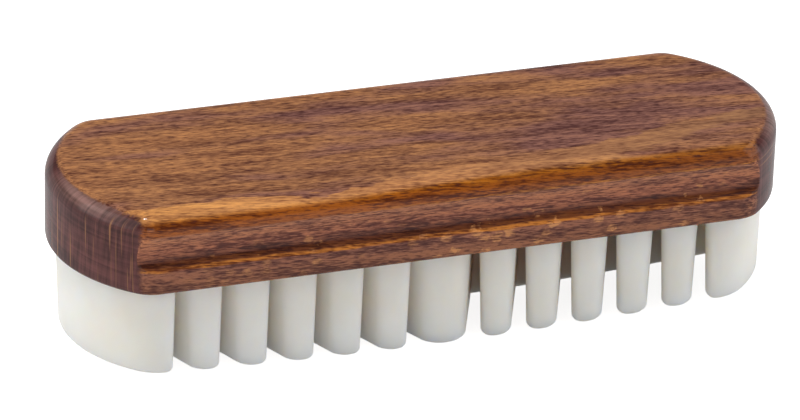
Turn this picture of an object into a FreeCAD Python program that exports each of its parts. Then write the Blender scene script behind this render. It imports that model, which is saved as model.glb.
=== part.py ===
import FreeCAD, Part
import math
import os

V = FreeCAD.Vector

# Suede brush: a hardwood handle block with a moulded crepe rubber pad glued into its underside.
# X runs along the brush, Z is up, and the lowest point of the rubber sole is at Z = 0.

# Handle block
block_length = 125.0
block_width = 41.5
block_height = 13.8
block_end_rise = 10.4        # how far each arc end stands out beyond the straight sides
block_corner_radius = 6.0    # plan rounding between a straight side and an arc end
top_round = 3.2
lower_round = 0.8
groove_depth = 1.3           # finger groove along each long side
groove_lower_land = 4.1      # flat side left below the groove
groove_upper_land = 0.2      # flat side left between the groove and the rounded top edge
groove_deep_rise = 2.1       # from the groove's lower lip up to its deepest line

# Rubber pad
pad_side_margin = 2.65       # wood left beside the pad
pad_end_margin = 1.55        # wood left beyond the pad's ends
pad_end_rise = 10.0
pad_corner_radius = 7.5
pad_reach = 17.4             # from the wood's underside to the lowest point of the sole
base_thickness = 4.0         # plate of the pad that sits in the block
sole_radius = 830.0          # the sole is rockered along the brush
draft_angle = 1.7            # each rubber wall leans this much, in degrees
tip_bevel = 0.8              # broken edge round each rib's tip

# Herringbone ribs on both sides of a straight spine
rib_angle = 20.0             # lean of the ribs from square, in degrees
rib_pitch = 8.15
rib_thickness = 6.05         # at the root
rib_first = 0.25             # outer end of the first rib from the middle of the brush
rib_sharp_round = 1.4        # the two upright corners at a rib's outer end
rib_blunt_round = 2.4
last_gap_trim = 0.6          # the gaps beside the end walls are this much narrower
fork_round = 0.8             # inside corner where the two middle ribs part
spine_thickness = 4.6        # at the root
spine_setback = 0.4          # the spine's edge stands this far back from the ribs' tips

# Fit of the pad in the block
pocket_clearance = 0.15
glue_thickness = 0.2

# Modelling limits
fillet_share = 0.9           # most of a wall that a fillet may use up
same_place = 1e-6            # points closer than this are one point

pad_length = block_length - 2 * pad_end_margin
pad_width = block_width - 2 * pad_side_margin
pad_side = -pad_width / 2
underside = pad_reach
block_top = underside + block_height
mould_depth = -tip_bevel     # rubber walls run this deep before the sole is cut
draft = math.tan(math.radians(draft_angle))
lean = math.tan(math.radians(rib_angle))
rib_cos = math.cos(math.radians(rib_angle))


class Plan:
    """Plan outline with straight sides, arc ends and rounded corners, and its parallel offsets."""

    def __init__(self, length, width, end_rise, corner_radius):
        self.half_width = width / 2
        self.end_radius = (self.half_width ** 2 + end_rise ** 2) / (2 * end_rise)
        self.arc_centre = length / 2 - self.end_radius
        self.corner_radius = corner_radius
        self.corner_y = self.half_width - corner_radius
        reach = math.sqrt((self.end_radius - corner_radius) ** 2 - self.corner_y ** 2)
        self.corner_x = self.arc_centre + reach

    def end_edges(self, inset, z):
        """Edges of the +X end, from the middle of the front side round to the middle of the back."""
        side = self.half_width - inset
        end = self.end_radius - inset
        corner = self.corner_radius - inset
        turn = math.atan2(self.corner_y, self.corner_x - self.arc_centre)
        half_turn = (math.pi / 2 + turn) / 2
        front = V(self.corner_x, -side, z)
        bulge = V(corner * math.cos(half_turn), -corner * math.sin(half_turn), 0)
        middle = V(self.corner_x, -self.corner_y, z) + bulge
        meet = V(self.arc_centre + end * math.cos(turn), -end * math.sin(turn), z)
        apex = V(self.arc_centre + end, 0, z)
        flip = [V(p.x, -p.y, p.z) for p in (front, middle, meet)]
        return [
            Part.LineSegment(V(0, -side, z), front).toShape(),
            Part.Arc(front, middle, meet).toShape(),
            Part.Arc(meet, apex, flip[2]).toShape(),
            Part.Arc(flip[2], flip[1], flip[0]).toShape(),
            Part.LineSegment(flip[0], V(0, side, z)).toShape(),
        ]

    def wire(self, inset, z):
        right = self.end_edges(inset, z)
        left = [edge.mirror(V(0, 0, 0), V(1, 0, 0)) for edge in right]
        return Part.Wire(Part.sortEdges(right + left)[0])

    def slab(self, inset, z, height):
        return Part.Face(self.wire(inset, z)).extrude(V(0, 0, height))


block_plan = Plan(block_length, block_width, block_end_rise, block_corner_radius)
pad_plan = Plan(pad_length, pad_width, pad_end_rise, pad_corner_radius)


def limited(radius, wall):
    """Fillet radius, held under the wall or corner that it runs round."""
    return min(radius, fillet_share * wall)


def edges_at(shape, z):
    return [e for e in shape.Edges if all(abs(v.Z - z) < same_place for v in e.Vertexes)]


def upright_edges(shape, corners):
    """Edges that run down the shape from these corners of its root."""
    found = []
    for edge in shape.Edges:
        ends = [v.Point for v in edge.Vertexes]
        steep = abs(ends[0].z - ends[-1].z) > pad_reach / 2
        if steep and any(p.distanceToPoint(c) < same_place for p in ends for c in corners):
            found.append(edge)
    return found


def groove_cutter():
    """Finger groove of the front side: two arcs that meet where the groove is deepest."""
    side = -block_width / 2
    low = underside + groove_lower_land
    high = block_top - top_round - groove_upper_land
    deep = low + groove_deep_rise
    floor = side + groove_depth

    def arc_middle(lip):
        rise = lip - deep
        radius = (rise ** 2 + groove_depth ** 2) / (2 * groove_depth)
        half = math.asin(rise / radius) / 2
        return V(0, floor - radius + radius * math.cos(half), deep + radius * math.sin(half))

    lower_lip = V(0, side, low)
    deepest = V(0, floor, deep)
    upper_lip = V(0, side, high)
    outside = side - groove_depth
    edges = [
        Part.Arc(lower_lip, arc_middle(low), deepest).toShape(),
        Part.Arc(deepest, arc_middle(high), upper_lip).toShape(),
        Part.LineSegment(upper_lip, V(0, outside, high)).toShape(),
        Part.LineSegment(V(0, outside, high), V(0, outside, low)).toShape(),
        Part.LineSegment(V(0, outside, low), lower_lip).toShape(),
    ]
    profile = Part.Face(Part.Wire(edges))
    profile.translate(V(-block_length, 0, 0))
    return profile.extrude(V(2 * block_length, 0, 0))


def handle_block():
    block = block_plan.slab(0, underside, block_height)
    block = block.makeFillet(limited(top_round, block_corner_radius), edges_at(block, block_top))
    block = block.makeFillet(limited(lower_round, block_corner_radius), edges_at(block, underside))
    front = groove_cutter()
    back = front.mirror(V(0, 0, 0), V(0, 1, 0))
    pocket = pad_plan.slab(-pocket_clearance, underside, base_thickness + glue_thickness)
    return block.cut([front, back, pocket])


def glue_film():
    return pad_plan.slab(0, underside + base_thickness, glue_thickness)


def lean_in(z):
    """How far the draft has moved a rubber wall from its place at the root."""
    return draft * (underside - z)


def polygon_face(points):
    return Part.Face(Part.makePolygon(points + points[:1]))


def tapered(corners):
    """Flat-walled solid from the pad's root to below the sole; corners(inset, z) gives its plan."""
    top, bottom = [corners(lean_in(z), z) for z in (underside, mould_depth)]
    faces = [polygon_face(top), polygon_face(bottom)]
    for i in range(len(top)):
        faces.append(polygon_face([top[i - 1], top[i], bottom[i], bottom[i - 1]]))
    return Part.Solid(Part.Shell(faces))


def sole_rise(x):
    return sole_radius - math.sqrt(sole_radius ** 2 - x ** 2)


def tipped(shape, x):
    """Cuts a rib's flat tip along the rockered sole at this x and breaks its edge, apart from the
    stretch on the brush's middle plane."""
    above = Part.makeBox(2 * pad_length, 2 * pad_width, block_top, V(-pad_length, -pad_width, 0))
    above.rotate(V(0, 0, 0), V(0, 1, 0), -math.degrees(math.asin(x / sole_radius)))
    above.translate(V(x, 0, sole_rise(x)))
    shape = shape.common(above)
    tip = min(shape.Faces, key=lambda face: face.CenterOfMass.z)
    edges = [e for e in tip.Edges if abs(e.CenterOfMass.y) > same_place]
    return shape.makeChamfer(limited(tip_bevel, rib_sharp_round), edges)


rib_half_end = rib_thickness / 2 / rib_cos
rib_count = int((pad_plan.corner_x - rib_first + rib_half_end) / rib_pitch)


def rib_line(number, y):
    """X of a front rib's middle line; ribs lean towards the pad's end as they run in to the spine."""
    return rib_first + number * rib_pitch + (y - pad_side) * lean


def rib_wall(number, side, y, inset):
    """X of a front rib's wall; side is +1 for its +X wall and -1 for the other."""
    return rib_line(number, y) + side * (rib_thickness / 2 - inset) / rib_cos


def rib(number):
    def corners(inset, z):
        outer = pad_side + inset
        return [
            V(rib_wall(number, -1, outer, inset), outer, z),
            V(rib_wall(number, 1, outer, inset), outer, z),
            V(rib_wall(number, 1, 0, inset), 0, z),
            V(rib_wall(number, -1, 0, inset), 0, z),
        ]

    root = corners(0, underside)
    solid = tapered(corners)
    solid = solid.makeFillet(rib_sharp_round, upright_edges(solid, root[:1]))
    solid = solid.makeFillet(rib_blunt_round, upright_edges(solid, root[1:2]))
    return tipped(solid, rib_line(number, pad_side / 2))


def middle_ribs():
    """The first ribs of both halves run into one V with a blunt front end."""

    def corners(inset, z):
        outer = pad_side + inset
        right = [
            V(rib_wall(0, 1, outer, inset), outer, z),
            V(rib_wall(0, 1, 0, inset), 0, z),
            V(rib_wall(0, -1, 0, inset), 0, z),
        ]
        fork = V(0, -right[2].x / lean, z)
        return right + [fork] + [V(-p.x, p.y, p.z) for p in reversed(right)]

    root = corners(0, underside)
    solid = tapered(corners)
    solid = solid.makeFillet(rib_blunt_round, upright_edges(solid, [root[0], root[-1]]))
    solid = solid.makeFillet(fork_round, upright_edges(solid, root[3:4]))
    return tipped(solid, 0)


def end_wall():
    """Front half of the pad's +X end: arc end outside, and the last gap's outer wall inside."""
    beyond = pad_side - pad_side_margin

    def inner(y, inset):
        return rib_wall(rib_count, -1, y, inset) - last_gap_trim

    def corners(inset, z):
        return [
            V(inner(beyond, inset), beyond, z),
            V(pad_length, beyond, z),
            V(pad_length, 0, z),
            V(inner(0, inset), 0, z),
        ]

    outline = Part.makeLoft([pad_plan.wire(lean_in(z), z) for z in (underside, mould_depth)], True, True)
    solid = outline.common(tapered(corners))
    sharp = V(inner(pad_side, 0), pad_side, underside)
    solid = solid.makeFillet(rib_sharp_round, upright_edges(solid, [sharp]))
    return tipped(solid, (inner(0, 0) + pad_length / 2) / 2)


def spine():
    reach = rib_line(rib_count, 0)

    def corners(inset, z):
        half = spine_thickness / 2 - inset
        return [V(-reach, -half, z), V(reach, -half, z), V(reach, half, z), V(-reach, half, z)]

    edge = Part.makeCylinder(sole_radius, pad_width, V(0, pad_side, sole_radius + spine_setback), V(0, 1, 0))
    return tapered(corners).common(edge)


def mirrored(shapes, normal):
    return [shape.mirror(V(0, 0, 0), normal) for shape in shapes]


def crepe_pad():
    right = [rib(number) for number in range(1, rib_count)] + [end_wall()]
    front = right + mirrored(right, V(1, 0, 0)) + [middle_ribs()]
    base = pad_plan.slab(0, underside, base_thickness)
    return base.fuse(front + mirrored(front, V(0, 1, 0)) + [spine()]).removeSplitter()


os.makedirs("parts", exist_ok=True)
for name, solid in (
    ("handle_block", handle_block()),
    ("crepe_pad", crepe_pad()),
    ("glue_film", glue_film()),
):
    solid.exportStep("parts/" + name + ".step")
    box = solid.optimalBoundingBox(False)
    size = [round(v, 2) for v in (box.XLength, box.YLength, box.ZLength)]
    print(name, "valid", solid.isValid(), "solids", len(solid.Solids), "mm3", round(solid.Volume, 1), size)
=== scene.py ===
import math
import bpy
import bmesh
from mathutils import Matrix, Vector


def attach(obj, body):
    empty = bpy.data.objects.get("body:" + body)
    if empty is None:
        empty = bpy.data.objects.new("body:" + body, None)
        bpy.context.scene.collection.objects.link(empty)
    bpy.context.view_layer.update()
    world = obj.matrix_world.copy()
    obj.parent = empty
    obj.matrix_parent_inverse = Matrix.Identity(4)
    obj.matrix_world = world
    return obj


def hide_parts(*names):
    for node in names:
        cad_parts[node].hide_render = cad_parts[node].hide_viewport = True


# Suede brush: stained beech handle block, crepe rubber pad. Pieces are modelled in mm and scaled to metres.
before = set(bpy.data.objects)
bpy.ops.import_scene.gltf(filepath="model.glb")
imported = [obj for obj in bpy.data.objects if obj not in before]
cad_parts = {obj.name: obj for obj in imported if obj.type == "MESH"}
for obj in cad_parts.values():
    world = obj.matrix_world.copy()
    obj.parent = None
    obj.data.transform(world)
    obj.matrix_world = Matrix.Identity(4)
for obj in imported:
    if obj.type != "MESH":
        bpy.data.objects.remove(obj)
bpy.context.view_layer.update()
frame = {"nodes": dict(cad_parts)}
mm = 0.001
samePlace = 1e-4  # points closer than this are one point
sharpAngle = 32   # edges that turn by more degrees than this are shaded sharp
print("frame loaded:", ", ".join(frame["nodes"]))


def linear(hexColour):  # sRGB hex to the linear colour that nodes take
    parts = [int(hexColour[i:i + 2], 16) / 255 for i in (1, 3, 5)]
    return [p / 12.92 if p <= 0.04045 else ((p + 0.055) / 1.055) ** 2.4 for p in parts] + [1.0]


def inMetres(sizes):
    return [size * mm for size in sizes]


def addNode(tree, kind, links=(), out=0, stops=None, **settings):
    # links are sockets, plain values or hex colours, by name or in the order of the node's sockets
    node = tree.nodes.new("ShaderNode" + kind)
    for name, value in settings.items():
        setattr(node, name, value)
    if stops:
        tones = [(p, linear(c) if isinstance(c, str) else c) for p, c in stops]
        ramp = node.color_ramp.elements
        ramp.remove(ramp[1])
        ramp[0].position, ramp[0].color = tones[0]
        for position, colour in tones[1:]:
            ramp.new(position).color = colour
    for name, value in links.items() if isinstance(links, dict) else enumerate(links):
        if isinstance(value, bpy.types.NodeSocket):
            tree.links.new(value, node.inputs[name])
        else:
            node.inputs[name].default_value = linear(value) if isinstance(value, str) else value
    return node.outputs[out] if node.outputs else node


def newTree(name):
    material = bpy.data.materials.new(name)
    material.use_nodes = True
    material.node_tree.nodes.clear()
    return material, material.node_tree


def level(bm, z):  # edges that lie flat at one height
    return [e for e in bm.edges if all(abs(v.co.z - z) < samePlace for v in e.verts)]


def openEdges(bm):
    return [e for e in bm.edges if len(e.link_faces) == 1]


def extrudeEdges(bm, edges, vec):  # extrude edges by vec, and give the new points
    grown = bmesh.ops.extrude_edge_only(bm, edges=edges)["geom"]
    verts = [g for g in grown if isinstance(g, bmesh.types.BMVert)]
    bmesh.ops.translate(bm, vec=vec, verts=verts)
    return verts


def raiseRim(bm, edges, height):  # extrude a loop of edges straight up and close it
    verts = extrudeEdges(bm, edges, (0, 0, height))
    rim = [e for e in openEdges(bm) if all(v in verts for v in e.verts)]
    bmesh.ops.edgeloop_fill(bm, edges=rim)


def planCentres(plan):  # where the end arc and the corner rounding turn
    half = plan["width"] / 2
    arc = (half ** 2 + plan["endRise"] ** 2) / (2 * plan["endRise"])
    arcX = plan["length"] / 2 - arc
    cornerY = half - plan["cornerRadius"]
    cornerX = arcX + math.sqrt((arc - plan["cornerRadius"]) ** 2 - cornerY ** 2)
    return arcX, cornerX, cornerY


def endQuarter(bm, plan, startX, z, grow=0.0):  # front side, corner, and the end arc up to the middle line
    arcX, cornerX, cornerY = planCentres(plan)
    turn = math.atan2(cornerY, cornerX - arcX)
    side = -plan["width"] / 2 - grow
    start = bm.verts.new((startX, side, z))
    corner = bm.verts.new((cornerX, side, z))
    bm.edges.new((start, corner))
    bent = bmesh.ops.spin(bm, geom=[corner], cent=(cornerX, -cornerY, z), axis=(0, 0, 1),
                          angle=math.pi / 2 - turn, steps=plan["cornerSteps"])
    meet = [g for g in bent["geom_last"] if isinstance(g, bmesh.types.BMVert)]
    bmesh.ops.spin(bm, geom=meet, cent=(arcX, 0, z), axis=(0, 0, 1), angle=turn, steps=plan["endSteps"])
    return start


def mirrorNew(bm, old, axis):  # mirror what was added since old and weld it on the middle plane
    edges = [e for e in bm.edges if e not in old]
    verts = list({v for e in edges for v in e.verts})
    faces = list({f for e in edges for f in e.link_faces})
    bmesh.ops.mirror(bm, geom=edges + verts + faces, matrix=Matrix.Identity(4), merge_dist=samePlace,
                     axis=axis)


def planOutline(bm, plan, z, grow=0.0):
    old = set(bm.edges)
    endQuarter(bm, plan, 0, z, grow)
    mirrorNew(bm, old, "Y")
    mirrorNew(bm, old, "X")


def finishPiece(bm, name, material, node):
    bmesh.ops.remove_doubles(bm, verts=bm.verts, dist=samePlace)
    bmesh.ops.recalc_face_normals(bm, faces=bm.faces)
    for edge in bm.edges:
        edge.smooth = edge.calc_face_angle(0) < math.radians(sharpAngle)
    for face in bm.faces:
        face.smooth = True
    openCount = len([e for e in bm.edges if len(e.link_faces) != 2])
    bmesh.ops.scale(bm, vec=(mm, mm, mm), verts=bm.verts)
    mesh = bpy.data.meshes.new(name)
    bm.to_mesh(mesh)
    bm.free()
    mesh.materials.append(material)
    piece = bpy.data.objects.new(name, mesh)
    bpy.context.scene.collection.objects.link(piece)
    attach(piece, "root")
    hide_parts(node)
    print(name, "faces", len(mesh.polygons), "open edges", openCount)


# Stained beech under a thin lacquer: fine dark pore dashes along a slightly slanting grain, paler ribbons and
# streaks, a light sapwood band on top, orange lines along the groove's lips that are partly stain sanded
# through and partly painted highlight, and dark thirsty end grain with a painted sheen on its upper rounding.
# All the real gloss is the lacquer's.
# A range is from, to, and the values there, which are 0 and 1 or another pattern where they are left out.
beech = {
    "grainTurn": (0.0, 0.055, -0.10),         # slant of the grain against the block, radians
    "grains": {                               # sizes in mm along X, Y and Z, and the noise's detail
        "dash": ((1.8, 0.34, 0.20), 2.0),     # these two are wider than real pores, so that they show
        "fine": ((0.8, 0.20, 0.14), 1.0),
        "ribbon": ((9.0, 0.85, 0.55), 2.0),
        "streak": ((40.0, 2.4, 1.4), 3.0),
        "patch": ((24.0, 6.0, 6.0), 2.0),
        "flame": ((6.0, 1.4, 1.4), 3.0),
    },

    "topTones": [(0.34, "#9f6946"), (0.50, "#9b6746"), (0.70, "#83564c")],
    "topWarm": (-60.0, 60.0, -0.06, 0.18),    # over x in mm, redder towards +X
    "topEdge": (0.60, 0.31),                  # side turns to top, by how far the surface faces sideways
    "topFurther": (-20.0, 12.0, 0.28, 0.0),   # over x in mm, the top's tones run further down at -X
    "topFurtherFrom": (27.9, 28.4),           # and only above this height in mm

    "paleTones": [(0.1, "#c0824e"), (0.45, "#bc8054"), (1.0, "#90644a")],   # sapwood from -X to +X
    "bandTop": [(-63, -14.8), (-47, -16.6), (-38, -16.0), (-29, -17.8), (-21, -18.6), (-9, -16.8),
                (0, -15.3), (11, -14.2), (22, -14.3), (32, -12.0), (41, -9.8), (51, -8.5), (63, -6.0)],
    "bandFoot": [(-63, -24.0), (10, -20.5), (25, -20.0), (35, -17.6), (40, -15.9), (48, -12.9), (63, -10.6)],
    "bandHalf": 63.0, "bandDeep": 30.0,       # furthest x and -y that the two lines may reach, mm
    "bandRag": (0.25, 0.75, -1.5, 1.5),       # flame noise to mm
    "bandTopFade": (-0.15, 0.35), "bandFootFade": (-0.8, 1.2),   # mm

    "sideBands": [(17.3, "#a0602f"), (17.8, "#82503a"), (21.2, "#804f40"), (22.2, "#603219"),
                  (22.9, "#5a2f23"), (24.4, "#985c47"), (27.4, "#a06448"), (28.0, "#884822"),
                  (29.8, "#844310"), (30.3, "#92500f"), (30.7, "#a0622a"), (31.1, "#a66c3c")],
    "sideSpan": (17.0, 32.0),                 # heights in mm that hold these bands
    "sideRipple": (0.3, 0.7, -0.3, 0.3),      # ribbon noise to mm
    "stain": "#4e2a1c",
    "stainAlong": (-15.0, 45.0, 0.0, 0.4),    # over x in mm, and above the height in the next line
    "stainFrom": (28.0, 28.6),
    "lips": [(21.70, 0.32, -75.0, -45.0),     # height, width, and x where the rubbed and lit line starts and is full, mm
             (27.85, 0.26, -25.0, 10.0)],
    "lipTone": "#a8662c", "lipRipple": 0.6, "lipCore": 0.3, "lipRubAndHighlight": 0.8,

    "fleckSize": (2.2, 2.2, 1.5), "fleckTone": "#b87c50",   # soft ray flecks on the sides, mm
    "fleckWobble": (0.7, 0.7, 0.7), "wobbleScale": 3.0,
    "fleckChosen": (0.62, 0.70), "fleckFade": (0.50, 0.30),
    "fleckBelow": (27.8, 24.0, 0.0, 0.65),    # over height in mm
    "fleckSideways": (0.5, 0.0), "fleckAlong": (-50.0, -25.0),

    "figureWeights": {"dash": 0.44, "ribbon": 0.22, "streak": 0.34},
    "figureTones": [(0.05, (0.43, 0.33, 0.36, 1.0)), (0.5, (1.0, 1.0, 1.0, 1.0)),
                    (0.95, (1.65, 1.75, 1.5, 1.0))],   # multiply the tone under them
    "figureMiddle": 0.52,
    "figureContrast": (7.2, 4.6), "sapCalm": -1.8,      # on the sides and on top, and less on sapwood
    "dashPores": (0.42, 0.30, 0.0, 0.5), "finePores": (0.42, 0.28, 0.0, 0.4), "sapPores": 0.4,
    "poreTone": "#4a2a28", "poreDepth": 0.03, "poreStrength": 0.5,   # depth in mm

    "endTones": [(0.3, "#482726"), (0.7, "#613a38")],
    "endRag": 0.3, "endRise": 0.2, "endEdge": (0.64, 0.78),   # where long grain turns to end grain
    "weaveSizes": [(40.0, 0.40, 7.0), (40.0, 12.0, 0.70)],    # fine upright and level lines, mm
    "weaveTurn": (0.05, 0.0, 0.0), "weaveContrast": 1.6, "weaveLimits": (0.55, 1.8),
    "endSheenTone": "#92726a",                    # painted sheen on the upper rounded edge, over y in mm and on the rounding only
    "endSheenFrom": (3.0, -5.0, 0.0, 0.62), "endSheenUntil": (-18.0, -13.0), "endSheenRound": (0.2, 0.7),
    "rays": [((40.0, 0.40, 16.0), 20.0, -20.0),               # upright rays at one end, level at the other:
             ((40.0, 16.0, 0.70), -20.0, 20.0)],              # size, and x without them and in full, mm
    "rayTone": "#a8764e", "rayChosen": (0.66, 0.78), "rayStrength": 0.8, "rayRound": (0.75, 0.35),

    "roughness": 0.38, "poreRoughness": 0.58, "ior": 1.5, "coat": 0.32, "coatRoughness": 0.12,
}


def beechGrains(tree, place):
    grains = {}
    for name, (size, detail) in beech["grains"].items():
        laid = addNode(tree, "Mapping", {"Vector": place, "Rotation": beech["grainTurn"],
                                         "Scale": inMetres(size)}, vector_type="TEXTURE")
        grains[name] = addNode(tree, "TexNoise", {"Vector": laid, "Scale": 1.0, "Detail": detail})
    return grains


def beechTop(tree, axes, grains):  # tan with brown patches, and sapwood between two ragged lines
    half, deep = beech["bandHalf"], beech["bandDeep"]
    warm = addNode(tree, "MapRange", [axes[0], *beech["topWarm"]])
    patchy = addNode(tree, "Math", [grains["patch"], warm], operation="ADD")
    tone = addNode(tree, "ValToRGB", [patchy], stops=beech["topTones"])
    along = addNode(tree, "MapRange", [axes[0], -half, half])
    rag = addNode(tree, "MapRange", [grains["flame"], *beech["bandRag"]])
    lines = {}
    for name in ("bandTop", "bandFoot"):
        stops = [((x + half) / (2 * half), [(y + deep) / deep] * 3 + [1]) for x, y in beech[name]]
        line = addNode(tree, "ValToRGB", [along], stops=stops)
        line = addNode(tree, "Math", [line, deep, -deep], operation="MULTIPLY_ADD")
        lines[name] = addNode(tree, "Math", [line, rag], operation="ADD")
    above = addNode(tree, "Math", [lines["bandTop"], axes[1]], operation="SUBTRACT")
    above = addNode(tree, "MapRange", [above, *beech["bandTopFade"]], interpolation_type="SMOOTHSTEP")
    below = addNode(tree, "Math", [axes[1], lines["bandFoot"]], operation="SUBTRACT")
    below = addNode(tree, "MapRange", [below, *beech["bandFootFade"]], interpolation_type="SMOOTHSTEP")
    band = addNode(tree, "Math", [above, below], operation="MULTIPLY")
    pale = addNode(tree, "ValToRGB", [along], stops=beech["paleTones"])
    tone = addNode(tree, "Mix", {0: band, 6: tone, 7: pale}, out=2, data_type="RGBA")
    return tone, band


def beechSides(tree, axes, grains):  # by height: lower land, groove, and the rubbed round edge above it
    low, high = beech["sideSpan"]
    ripple = addNode(tree, "MapRange", [grains["ribbon"], *beech["sideRipple"]])
    height = addNode(tree, "Math", [axes[2], ripple], operation="ADD")
    height = addNode(tree, "MapRange", [height, low, high])
    tone = addNode(tree, "ValToRGB", [height],
                   stops=[((z - low) / (high - low), colour) for z, colour in beech["sideBands"]])
    stained = addNode(tree, "MapRange", [axes[0], *beech["stainAlong"]])
    stained = addNode(tree, "MapRange", [axes[2], *beech["stainFrom"], 0.0, stained])
    tone = addNode(tree, "Mix", {0: stained, 6: tone, 7: beech["stain"]}, out=2, data_type="RGBA")
    for lip, width, start, full in beech["lips"]:  # stain sanded through along the groove's lips, with painted highlight where the sharp lip catches the light
        apart = addNode(tree, "Math", [ripple, beech["lipRipple"], axes[2]], operation="MULTIPLY_ADD")
        apart = addNode(tree, "Math", [apart, lip], operation="SUBTRACT")
        apart = addNode(tree, "Math", [apart], operation="ABSOLUTE")
        rubbedAndLit = addNode(tree, "MapRange", [apart, width, width * beech["lipCore"]],
                         interpolation_type="SMOOTHSTEP")
        reach = addNode(tree, "MapRange", [axes[0], start, full, 0.0, beech["lipRubAndHighlight"]])
        rubbedAndLit = addNode(tree, "Math", [rubbedAndLit, reach], operation="MULTIPLY")
        tone = addNode(tree, "Mix", {0: rubbedAndLit, 6: tone, 7: beech["lipTone"]}, out=2, data_type="RGBA")
    return tone


def beechFlecks(tree, place, axes, upward):  # a few wobbly cells, low on the sides
    spots = addNode(tree, "Mapping", {"Vector": place, "Scale": inMetres(beech["fleckSize"])},
                    vector_type="TEXTURE")
    wobble = addNode(tree, "TexNoise", {"Vector": spots, "Scale": beech["wobbleScale"], "Detail": 1.0},
                     out="Color")
    spots = addNode(tree, "VectorMath", [wobble, beech["fleckWobble"], spots], operation="MULTIPLY_ADD")
    cells = addNode(tree, "TexVoronoi", {"Vector": spots, "Scale": 1.0}).node.outputs
    chosen = addNode(tree, "MapRange", [cells["Color"], *beech["fleckChosen"]])
    spots = addNode(tree, "MapRange", [cells["Distance"], *beech["fleckFade"], 0.0, chosen])
    under = addNode(tree, "MapRange", [axes[2], *beech["fleckBelow"]])
    under = addNode(tree, "MapRange", [upward, *beech["fleckSideways"], 0.0, under])
    under = addNode(tree, "MapRange", [axes[0], *beech["fleckAlong"], 0.0, under])
    return addNode(tree, "Math", [spots, under], operation="MULTIPLY")


def beechFigure(tree, grains, upward, sap):  # yellower where light, more purple where dark, calmer on top
    mixed = -0.5  # the noises have their middle at 0.5
    for name, weight in beech["figureWeights"].items():
        mixed = addNode(tree, "Math", [grains[name], weight, mixed], operation="MULTIPLY_ADD")
    calm = addNode(tree, "MapRange", [upward, 0.0, 1.0, *beech["figureContrast"]])
    calm = addNode(tree, "Math", [sap, beech["sapCalm"], calm], operation="MULTIPLY_ADD")
    shade = addNode(tree, "Math", [mixed, calm, beech["figureMiddle"]], operation="MULTIPLY_ADD")
    return addNode(tree, "ValToRGB", [shade], stops=beech["figureTones"])


def beechPores(tree, grains, sap):  # the darkest dashes, fewer on sapwood
    dash = addNode(tree, "MapRange", [grains["dash"], *beech["dashPores"]])
    fine = addNode(tree, "MapRange", [grains["fine"], *beech["finePores"]])
    pores = addNode(tree, "Math", [dash, fine], operation="MAXIMUM")
    sparse = addNode(tree, "MapRange", [sap, 0.0, 1.0, 1.0, beech["sapPores"]])
    return addNode(tree, "Math", [pores, sparse], operation="MULTIPLY")


def beechEnds(tree, place, axes, normals, grains):  # purple brown with a weave of lines, rays and a painted sheen on the upper rounded edge
    tone = addNode(tree, "ValToRGB", [grains["patch"]], stops=beech["endTones"])
    weave = -1.0  # two noises with their middle at 0.5
    for size in beech["weaveSizes"]:
        laid = addNode(tree, "Mapping", {"Vector": place, "Rotation": beech["weaveTurn"],
                                         "Scale": inMetres(size)}, vector_type="TEXTURE")
        laid = addNode(tree, "TexNoise", {"Vector": laid, "Scale": 1.0, "Detail": 2.0})
        weave = addNode(tree, "Math", [laid, weave], operation="ADD")
    weave = addNode(tree, "Math", [weave, beech["weaveContrast"], 1.0], operation="MULTIPLY_ADD")
    weave = addNode(tree, "Clamp", [weave, *beech["weaveLimits"]])
    # painted sheen: a paler tone on the end's upper rounding, fading to the back and at the front corner
    endSheen = addNode(tree, "MapRange", [axes[1], *beech["endSheenFrom"]])
    endSheen = addNode(tree, "MapRange", [axes[1], *beech["endSheenUntil"], 0.0, endSheen])
    endSheen = addNode(tree, "MapRange", [normals[2], *beech["endSheenRound"], 0.0, endSheen],
                   interpolation_type="SMOOTHSTEP")
    tone = addNode(tree, "Mix", {0: endSheen, 6: tone, 7: beech["endSheenTone"]}, out=2, data_type="RGBA")
    tone = addNode(tree, "VectorMath", {0: tone, "Scale": weave}, operation="SCALE")
    rays = 0.0
    for size, none, full in beech["rays"]:
        laid = addNode(tree, "Mapping", {"Vector": place, "Scale": inMetres(size)}, vector_type="TEXTURE")
        laid = addNode(tree, "TexNoise", {"Vector": laid, "Scale": 1.0, "Detail": 1.0})
        there = addNode(tree, "MapRange", [axes[0], none, full, 0.0, beech["rayStrength"]])
        laid = addNode(tree, "MapRange", [laid, *beech["rayChosen"], 0.0, there])
        rays = addNode(tree, "Math", [laid, rays], operation="MAXIMUM")
    rays = addNode(tree, "MapRange", [normals[2], *beech["rayRound"], 0.0, rays])
    return addNode(tree, "Mix", {0: rays, 6: tone, 7: beech["rayTone"]}, out=2, data_type="RGBA")


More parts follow.
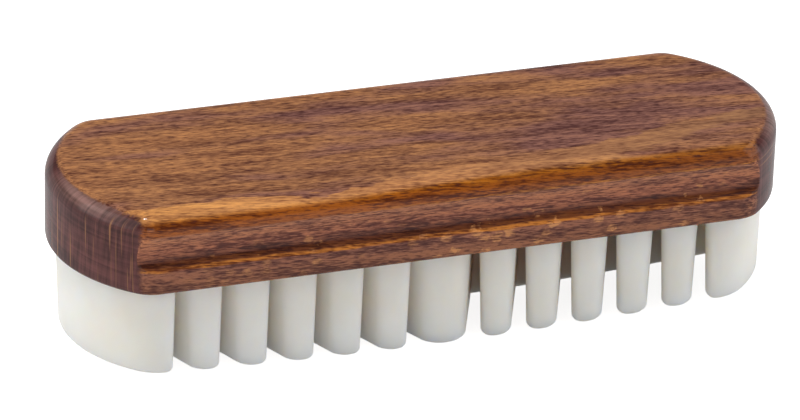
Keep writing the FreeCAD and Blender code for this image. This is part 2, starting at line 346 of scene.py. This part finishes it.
def beechMaterial():
    material, tree = newTree("stained lacquered beech")
    place = addNode(tree, "TexCoord", out="Object")
    spot = addNode(tree, "VectorMath", {0: place, "Scale": 1 / mm}, operation="SCALE")
    axes = addNode(tree, "SeparateXYZ", [spot]).node.outputs  # x, y and z in mm
    facing = addNode(tree, "TexCoord", out="Normal")
    facing = addNode(tree, "VectorMath", [facing], operation="ABSOLUTE")
    normals = addNode(tree, "SeparateXYZ", [facing]).node.outputs
    grains = beechGrains(tree, place)

    further = addNode(tree, "MapRange", [axes[0], *beech["topFurther"]])
    further = addNode(tree, "MapRange", [axes[2], *beech["topFurtherFrom"], 0.0, further])
    sideways = addNode(tree, "Math", [normals[1], further], operation="SUBTRACT")
    upward = addNode(tree, "MapRange", [sideways, *beech["topEdge"]], interpolation_type="SMOOTHSTEP")
    topTone, band = beechTop(tree, axes, grains)
    sap = addNode(tree, "Math", [band, upward], operation="MULTIPLY")
    sideTone = beechSides(tree, axes, grains)
    fleck = beechFlecks(tree, place, axes, upward)
    sideTone = addNode(tree, "Mix", {0: fleck, 6: sideTone, 7: beech["fleckTone"]}, out=2, data_type="RGBA")
    longGrain = addNode(tree, "Mix", {0: upward, 6: sideTone, 7: topTone}, out=2, data_type="RGBA")
    figure = beechFigure(tree, grains, upward, sap)
    longGrain = addNode(tree, "Mix", {0: 1.0, 6: longGrain, 7: figure}, out=2, data_type="RGBA",
                        blend_type="MULTIPLY")
    pores = beechPores(tree, grains, sap)
    longGrain = addNode(tree, "Mix", {0: pores, 6: longGrain, 7: beech["poreTone"]}, out=2, data_type="RGBA")

    endTone = beechEnds(tree, place, axes, normals, grains)
    across = addNode(tree, "Math", [grains["dash"], beech["endRag"], normals[0]], operation="MULTIPLY_ADD")
    across = addNode(tree, "Math", [normals[2], beech["endRise"], across], operation="MULTIPLY_ADD")
    ends = addNode(tree, "MapRange", [across, *beech["endEdge"]], interpolation_type="SMOOTHSTEP")
    colour = addNode(tree, "Mix", {0: ends, 6: longGrain, 7: endTone}, out=2, data_type="RGBA")

    matt = addNode(tree, "MapRange", [pores, 0.0, 1.0, beech["roughness"], beech["poreRoughness"]])
    relief = addNode(tree, "Bump", {"Height": pores, "Distance": beech["poreDepth"] * mm,
                                    "Strength": beech["poreStrength"]}, invert=True)
    surface = addNode(tree, "BsdfPrincipled", {
        "Base Color": colour, "Roughness": matt, "Normal": relief, "IOR": beech["ior"],
        "Specular IOR Level": 0.0, "Coat Weight": beech["coat"], "Coat Roughness": beech["coatRoughness"]})
    addNode(tree, "OutputMaterial", {"Surface": surface})
    return material


# Moulded crepe rubber: cream, smooth and satin, faintly cloudy, with painted shade: a browner, warmer tone
# deep between the ribs
rubber = {
    # deep is the tone of the painted shade between the ribs
    "cream": "#f6f1e9", "cloud": "#f1e9de", "deep": "#f2dac9",
    "cloudSize": 14.0, "cloudSpan": (0.35, 0.65),                   # mm, and the noise values it runs over
    "deepShadeAcross": (16.0, 4.0), "deepShadeFrom": (0.5, 2.0), "deepShadeAlong": (50.0, 24.0),   # where the painted shade between the ribs runs, in y, z and x, mm
    "skinSize": 0.6, "skinDepth": 0.02, "skinStrength": 0.3,        # mm, coarser than real skin, to show
    "roughness": (0.37, 0.50), "roughSpan": (0.3, 0.7), "ior": 1.52,
    "scatter": (1.0, 0.8, 0.58), "scatterDepth": 11.0,              # share of red, green and blue; mm
}


def rubberMaterial():
    material, tree = newTree("moulded crepe rubber")
    place = addNode(tree, "TexCoord", out="Object")
    axes = addNode(tree, "SeparateXYZ", [place]).node.outputs
    cloudy = addNode(tree, "TexNoise", {"Vector": place, "Scale": 1 / (rubber["cloudSize"] * mm),
                                        "Detail": 3.0})
    cloudy = addNode(tree, "MapRange", [cloudy, *rubber["cloudSpan"]])
    tone = addNode(tree, "Mix", {0: cloudy, 6: rubber["cream"], 7: rubber["cloud"]}, out=2, data_type="RGBA")
    # painted shade: a warmer, browner tone deep between the ribs, kept off the sole and fading towards the
    # ends
    inward = addNode(tree, "Math", [axes[1]], operation="ABSOLUTE")
    inward = addNode(tree, "MapRange", [inward, *inMetres(rubber["deepShadeAcross"])],
                     interpolation_type="SMOOTHSTEP")
    depth = addNode(tree, "MapRange", [axes[2], *inMetres(rubber["deepShadeFrom"])])
    deep = addNode(tree, "Math", [inward, depth], operation="MULTIPLY")
    middle = addNode(tree, "Math", [axes[0]], operation="ABSOLUTE")
    middle = addNode(tree, "MapRange", [middle, *inMetres(rubber["deepShadeAlong"])])
    deep = addNode(tree, "Math", [deep, middle], operation="MULTIPLY")
    tone = addNode(tree, "Mix", {0: deep, 6: tone, 7: rubber["deep"]}, out=2, data_type="RGBA")
    skin = addNode(tree, "TexNoise", {"Vector": place, "Scale": 1 / (rubber["skinSize"] * mm), "Detail": 2.0})
    relief = addNode(tree, "Bump", {"Height": skin, "Distance": rubber["skinDepth"] * mm,
                                    "Strength": rubber["skinStrength"]})
    matt = addNode(tree, "MapRange", [skin, *rubber["roughSpan"], *rubber["roughness"]])
    surface = addNode(tree, "BsdfPrincipled", {
        "Base Color": tone, "Roughness": matt, "Normal": relief, "IOR": rubber["ior"],
        "Subsurface Weight": 1.0, "Subsurface Radius": rubber["scatter"],
        "Subsurface Scale": rubber["scatterDepth"] * mm})
    addNode(tree, "OutputMaterial", {"Surface": surface})
    return material


# Dried contact adhesive: a thin brushed amber film, seen only with the pad taken out
glue = {"tones": [(0.35, "#b98a4a"), (0.65, "#8d5f2c")], "brushSize": (9.0, 0.8, 0.8),   # mm
        "roughness": 0.35, "ior": 1.48}


def glueMaterial():
    material, tree = newTree("dried contact adhesive")
    place = addNode(tree, "TexCoord", out="Object")
    strokes = addNode(tree, "Mapping", {"Vector": place, "Scale": inMetres(glue["brushSize"])},
                      vector_type="TEXTURE")
    strokes = addNode(tree, "TexNoise", {"Vector": strokes, "Scale": 1.0, "Detail": 3.0})
    tone = addNode(tree, "ValToRGB", [strokes], stops=glue["tones"])
    surface = addNode(tree, "BsdfPrincipled", {"Base Color": tone, "Roughness": glue["roughness"],
                                               "IOR": glue["ior"]})
    addNode(tree, "OutputMaterial", {"Surface": surface})
    return material


handle = {  # mm
    "length": 125.0, "width": 41.5, "endRise": 10.4, "cornerRadius": 6.0, "cornerSteps": 36, "endSteps": 40,
    "underside": 17.4, "top": 31.2, "topRound": 3.2, "topSteps": 9, "topInset": 0.4,
    "lowerRound": 0.8, "lowerSteps": 4,
    "grooveLow": 21.5, "grooveDeep": 23.6, "grooveHigh": 27.8, "grooveDepth": 1.3,
    "lipSoft": 0.10, "leastDepth": 0.004,
    "grooveRows": [21.2, 21.4, 21.47, 21.53, 21.6, 21.7, 21.85, 22.05, 22.3, 22.6, 23.0, 23.6, 24.3, 25.0,
                   25.7, 26.3, 26.8, 27.2, 27.5, 27.65, 27.75, 27.85, 27.95],   # closer at the lips
    "rowReach": 0.1,
    "pocketGrow": 0.15, "pocketCeiling": 21.6,
}


def grooveDepth(z):  # two arcs that meet at the deepest line, with softened lips
    lip = handle["grooveLow"] if z < handle["grooveDeep"] else handle["grooveHigh"]
    rise = abs(lip - handle["grooveDeep"])
    radius = (rise ** 2 + handle["grooveDepth"] ** 2) / (2 * handle["grooveDepth"])
    reach = abs(z - handle["grooveDeep"])
    if reach <= rise:
        depth = handle["grooveDepth"] - radius + math.sqrt(radius ** 2 - reach ** 2)
    else:
        depth = -(reach - rise) * rise / math.sqrt(radius ** 2 - rise ** 2)
    soft = (depth + math.sqrt(depth ** 2 + handle["lipSoft"] ** 2)) / 2
    return soft if soft > handle["leastDepth"] else 0.0


def cutGrooves(bm):  # finger groove along each long side
    rows = handle["grooveRows"]
    for z in rows:
        bmesh.ops.bisect_plane(bm, geom=bm.verts[:] + bm.edges[:] + bm.faces[:], dist=samePlace / 10,
                               plane_co=(0, 0, z), plane_no=(0, 0, 1))
    for vert in bm.verts:
        limit = handle["width"] / 2 - grooveDepth(vert.co.z)
        inRows = rows[0] - handle["rowReach"] < vert.co.z < rows[-1] + handle["rowReach"]
        if inRows and abs(vert.co.y) > limit:
            vert.co.y = math.copysign(limit, vert.co.y)


def buildHandle(material):
    bm = bmesh.new()
    planOutline(bm, handle, handle["underside"])
    raiseRim(bm, level(bm, handle["underside"]), handle["top"] - handle["underside"])
    planOutline(bm, pad, handle["underside"], handle["pocketGrow"])
    bmesh.ops.bridge_loops(bm, edges=level(bm, handle["underside"]))
    bmesh.ops.recalc_face_normals(bm, faces=bm.faces)
    bmesh.ops.bevel(bm, geom=level(bm, handle["top"]), offset=handle["topRound"], offset_type="OFFSET",
                    segments=handle["topSteps"], profile=0.5, affect="EDGES", material=-1)
    # below, only the edge that meets the upright sides, not the pocket's
    foot = [e for e in level(bm, handle["underside"]) if any(abs(f.normal.z) < 0.5 for f in e.link_faces)]
    bmesh.ops.bevel(bm, geom=foot, offset=handle["lowerRound"], offset_type="OFFSET",
                    segments=handle["lowerSteps"], profile=0.5, affect="EDGES", material=-1)
    cutGrooves(bm)
    topFaces = [f for f in bm.faces if all(abs(v.co.z - handle["top"]) < samePlace for v in f.verts)]
    bmesh.ops.inset_region(bm, faces=topFaces, thickness=handle["topInset"], use_even_offset=True)
    raiseRim(bm, openEdges(bm), handle["pocketCeiling"] - handle["underside"])
    finishPiece(bm, "handleBlock", material, "handle_block")


pad = {  # mm and degrees
    "length": 121.9, "width": 36.2, "endRise": 10.0, "cornerRadius": 7.5, "cornerSteps": 36, "endSteps": 40,
    "underside": 17.4, "baseThickness": 4.0, "soleRadius": 830.0, "rockerBelow": 1.0, "draftAngle": 1.9,
    "ribs": 5, "ribAngle": 23.5, "ribPitch": 8.05, "ribThickness": 6.15, "ribFirst": 0.05,
    "lastGapTrim": 0.15, "wallMargin": 0.1, "spineThickness": 4.6,
    "sharpRound": 2.75, "bluntRound": 3.55, "middleRound": 4.6, "endRound": 3.0, "forkRound": 0.8,
    "roundSteps": 9, "tipRound": 1.0, "tipSteps": 7, "tipRow": 1.0, "tipInset": 0.08, "tipLean": 0.2,
    "uprightEnd": 0.3, "uprightFrom": 50.0, "uprightOver": 8.0,
}
padRoot = pad["underside"]
padFront = -pad["width"] / 2
spineFront = -pad["spineThickness"] / 2


def ribWall(number, side, y):  # x of a front right rib's wall at this y
    lean = math.radians(pad["ribAngle"])
    line = pad["ribFirst"] + number * pad["ribPitch"] + (y - padFront) * math.tan(lean)
    return line + side * pad["ribThickness"] / 2 / math.cos(lean)


def endWall(y):  # x of the right end wall's inner side at this y
    return ribWall(pad["ribs"] + 1, -1, y) - pad["lastGapTrim"]


def rootFace(bm, points):
    corners = [bm.verts.new((x, y, padRoot)) for x, y in points]
    bm.faces.new(corners)
    return corners


def roundCorners(bm, verts, radius, cornerAngle):  # plan rounding of upright corners
    bmesh.ops.bevel(bm, geom=verts, offset=radius / math.tan(math.radians(cornerAngle / 2)),
                    offset_type="OFFSET", segments=pad["roundSteps"], profile=0.5, affect="VERTICES",
                    material=-1)


def ribRoots(bm):  # front right ribs, then the other three quarters
    for number in range(1, pad["ribs"] + 1):
        sides = [(-1, padFront), (1, padFront), (1, spineFront), (-1, spineFront)]
        corners = rootFace(bm, [(ribWall(number, side, y), y) for side, y in sides])
        roundCorners(bm, corners[:1], pad["sharpRound"], 90 - pad["ribAngle"])
        roundCorners(bm, corners[1:2], pad["bluntRound"], 90 + pad["ribAngle"])
    mirrorNew(bm, set(), "Y")
    mirrorNew(bm, set(), "X")


def middleRoots(bm):  # the two middle ribs run into a V
    old = set(bm.edges)
    half = [(ribWall(0, side, y), y) for side, y in ((1, padFront), (1, spineFront), (-1, spineFront))]
    fork = -ribWall(0, -1, 0) / math.tan(math.radians(pad["ribAngle"]))
    corners = rootFace(bm, half + [(0, fork)] + [(-x, y) for x, y in reversed(half)])
    roundCorners(bm, [corners[0], corners[-1]], pad["middleRound"], 90 + pad["ribAngle"])
    roundCorners(bm, [corners[3]], pad["forkRound"], 2 * pad["ribAngle"])
    mirrorNew(bm, old, "Y")


def endRoots(bm):  # arc end outside, the last gap's wall inside
    old = set(bm.edges)
    wallFront, wallFoot = endWall(padFront), endWall(spineFront)
    start = endQuarter(bm, pad, wallFront, padRoot)
    bm.edges.new((start, bm.verts.new((wallFoot, spineFront, padRoot))))
    mirrorNew(bm, old, "Y")
    edges = [e for e in bm.edges if e not in old]
    feet = [v for e in edges for v in e.verts
            if abs(v.co.x - wallFoot) < samePlace and abs(v.co.y) < -spineFront + samePlace]
    edges.append(bm.edges.new(feet))
    bmesh.ops.edgeloop_fill(bm, edges=edges)
    mirrorNew(bm, old, "X")
    sharp = [v for v in bm.verts
             if abs(abs(v.co.x) - wallFront) < samePlace and abs(abs(v.co.y) + padFront) < samePlace]
    roundCorners(bm, sharp, pad["endRound"], 90 - pad["ribAngle"])


def spineRoot(bm):  # strip between the ribs' inner ends
    stops = sorted({round(v.co.x, 4) for v in bm.verts if abs(v.co.y - spineFront) < samePlace})
    row = [bm.verts.new((x, spineFront, padRoot)) for x in stops]
    strip = [bm.edges.new(pair) for pair in zip(row, row[1:])]
    extrudeEdges(bm, strip, (0, -2 * spineFront, 0))
    bmesh.ops.remove_doubles(bm, verts=bm.verts, dist=10 * samePlace)


def gapFloors(bm):  # floors between the ribs
    for side in (padFront, -padFront):
        rim = sorted((v for v in bm.verts if abs(v.co.y - side) < samePlace), key=lambda v: v.co.x)
        for pair in zip(rim, rim[1:]):
            if bm.edges.get(pair) is None:
                bm.edges.new(pair)
    cornerX, cornerY = planCentres(pad)[1:]
    beyondWall = endWall(spineFront) + pad["wallMargin"]
    onRim = {v for v in bm.verts if abs(v.co.y) > -padFront - samePlace or abs(v.co.x) > beyondWall or
             abs(v.co.x) > cornerX and abs(v.co.y) > cornerY}
    gaps = [e for e in bm.edges if len(e.link_faces) == 0 or
            len(e.link_faces) == 1 and not all(v in onRim for v in e.verts)]
    bmesh.ops.edgeloop_fill(bm, edges=gaps)


def drawWalls(bm, comb):  # drafted walls down to round tips
    for face in comb:
        face.normal_update()
        if face.normal.z > 0:
            face.normal_flip()
    draft = math.tan(math.radians(pad["draftAngle"]))
    tipRound = pad["tipRound"]
    drops = [padRoot - tipRound - pad["tipRow"], pad["tipRow"]]  # the short row keeps the shading straight
    steps = [(drop * draft, drop) for drop in drops]
    turns = [math.radians(90 * k / pad["tipSteps"]) for k in range(pad["tipSteps"] + 1)]
    steps += [(tipRound * (math.cos(a) - math.cos(b)), tipRound * (math.sin(b) - math.sin(a)))
              for a, b in zip(turns, turns[1:])]
    for thickness, depth in steps + [(pad["tipInset"], 0.0)]:
        bmesh.ops.inset_region(bm, faces=comb, thickness=thickness, depth=depth, use_even_offset=True)


def bendSole(bm):  # end walls stand straighter than the ribs; rocker of the sole
    for vert in bm.verts:
        drop = max(0.0, 1 - vert.co.z / padRoot)
        beyond = min(1.0, max(0.0, (abs(vert.co.x) - pad["uprightFrom"]) / pad["uprightOver"]))
        vert.co.x += drop * (pad["tipLean"] + math.copysign(pad["uprightEnd"] * beyond, vert.co.x))
        if vert.co.z < padRoot - pad["rockerBelow"]:
            vert.co.z += pad["soleRadius"] - math.sqrt(pad["soleRadius"] ** 2 - vert.co.x ** 2)


def buildPad(material):
    bm = bmesh.new()
    ribRoots(bm)
    middleRoots(bm)
    endRoots(bm)
    spineRoot(bm)
    comb = bm.faces[:]
    gapFloors(bm)
    raiseRim(bm, openEdges(bm), pad["baseThickness"])
    drawWalls(bm, comb)
    bendSole(bm)
    finishPiece(bm, "crepePad", material, "crepe_pad")


buildHandle(beechMaterial())
buildPad(rubberMaterial())
film = frame["nodes"]["glue_film"]  # its CAD shape is right and stays
film.data.materials.clear()
film.data.materials.append(glueMaterial())
print("materials done")

# Studio: white floor with a low turned-up edge that glows a little for the camera, soft boxes on both sides,
# above and in front. Lengths are in metres.
studio = {
    "floorRadius": 6.0, "floorSides": 64, "edgeHeight": 1.2, "edgeRound": 0.8, "edgeSteps": 8,
    "floorColour": "#d8d8d8", "floorGlow": 0.86, "floorDrop": 0.0002,
    "fill": 0.32, "lampAim": (0, 0, 0.015),
}
softBoxes = {  # place, size, watts
    "leftBox": ((-0.95, 0.0, 0.45), 0.95, 5.6),
    "rightBox": ((0.85, -0.35, 0.45), 0.95, 5.5),
    "topBox": ((-0.32, -0.12, 0.95), 0.13, 2.8),
    "frontBox": ((-0.42, -1.1, 0.30), 0.45, 1.25),
}


def floorMaterial():
    material, tree = newTree("matt white studio floor")
    rays = addNode(tree, "LightPath").node.outputs  # camera, glossy and transmission rays see it white
    seen = addNode(tree, "Math", [rays["Is Camera Ray"], rays["Is Glossy Ray"]], operation="MAXIMUM")
    seen = addNode(tree, "Math", [seen, rays["Is Transmission Ray"]], operation="MAXIMUM")
    glow = addNode(tree, "Math", [seen, studio["floorGlow"]], operation="MULTIPLY")
    paint = addNode(tree, "BsdfDiffuse", {"Color": studio["floorColour"]})
    light = addNode(tree, "Emission", {"Strength": glow})
    both = addNode(tree, "AddShader", [paint, light])
    addNode(tree, "OutputMaterial", {"Surface": both})
    return material


def buildFloor():
    bm = bmesh.new()
    bmesh.ops.create_circle(bm, cap_ends=True, segments=studio["floorSides"], radius=studio["floorRadius"])
    extrudeEdges(bm, bm.edges[:], (0, 0, studio["edgeHeight"]))
    bmesh.ops.bevel(bm, geom=level(bm, 0), offset=studio["edgeRound"], offset_type="OFFSET",
                    segments=studio["edgeSteps"], profile=0.5, affect="EDGES", material=-1)
    bmesh.ops.recalc_face_normals(bm, faces=bm.faces)
    bmesh.ops.reverse_faces(bm, faces=[f for f in bm.faces if f.normal.z < -0.1])  # the floor looks up
    mesh = bpy.data.meshes.new("studioFloor")
    bm.to_mesh(mesh)
    bm.free()
    mesh.materials.append(floorMaterial())
    floor = bpy.data.objects.new("studioFloor", mesh)
    floor.location.z = -studio["floorDrop"]
    bpy.context.scene.collection.objects.link(floor)


def lightStudio():
    world = bpy.data.worlds.new("studio")
    bpy.context.scene.world = world
    world.use_nodes = True
    world.node_tree.nodes.clear()
    sky = addNode(world.node_tree, "Background", {"Strength": studio["fill"]})
    addNode(world.node_tree, "OutputWorld", {"Surface": sky})
    for name, (place, size, watts) in softBoxes.items():
        lamp = bpy.data.lights.new(name, "AREA")
        lamp.size = size
        lamp.energy = watts
        box = bpy.data.objects.new(name, lamp)
        box.location = place
        aim = Vector(studio["lampAim"]) - Vector(place)
        box.rotation_euler = aim.to_track_quat("-Z", "Y").to_euler()
        bpy.context.scene.collection.objects.link(box)
    print("studio lit with", len(softBoxes), "soft boxes")


camera = {"aim": (-2.245, 0.399, 16.578), "distance": 849.5, "azimuth": 20.01, "elevation": 25.58,
          "roll": 1.72, "lens": 230.13, "sensor": 36.0,   # mm and degrees
          "clip": (0.05, 50.0)}                           # metres


def placeCamera():
    azimuth, elevation, roll = [math.radians(camera[k]) for k in ("azimuth", "elevation", "roll")]
    back = Vector((-math.sin(azimuth) * math.cos(elevation), -math.cos(azimuth) * math.cos(elevation),
                   math.sin(elevation)))
    right = Vector((math.cos(azimuth), -math.sin(azimuth), 0))
    up = back.cross(right)
    right, up = math.cos(roll) * right + math.sin(roll) * up, math.cos(roll) * up - math.sin(roll) * right
    lensData = bpy.data.cameras.new("camera")
    lensData.lens = camera["lens"]
    lensData.sensor_width = camera["sensor"]
    lensData.sensor_fit = "HORIZONTAL"
    lensData.clip_start, lensData.clip_end = camera["clip"]
    eye = bpy.data.objects.new("camera", lensData)
    place = (Vector(camera["aim"]) + back * camera["distance"]) * mm
    eye.matrix_world = Matrix.Translation(place) @ Matrix((right, up, back)).transposed().to_4x4()
    bpy.context.scene.collection.objects.link(eye)
    bpy.context.scene.camera = eye
    print("camera placed")


buildFloor()
lightStudio()
placeCamera()
bpy.context.scene.view_settings.view_transform = "Standard"
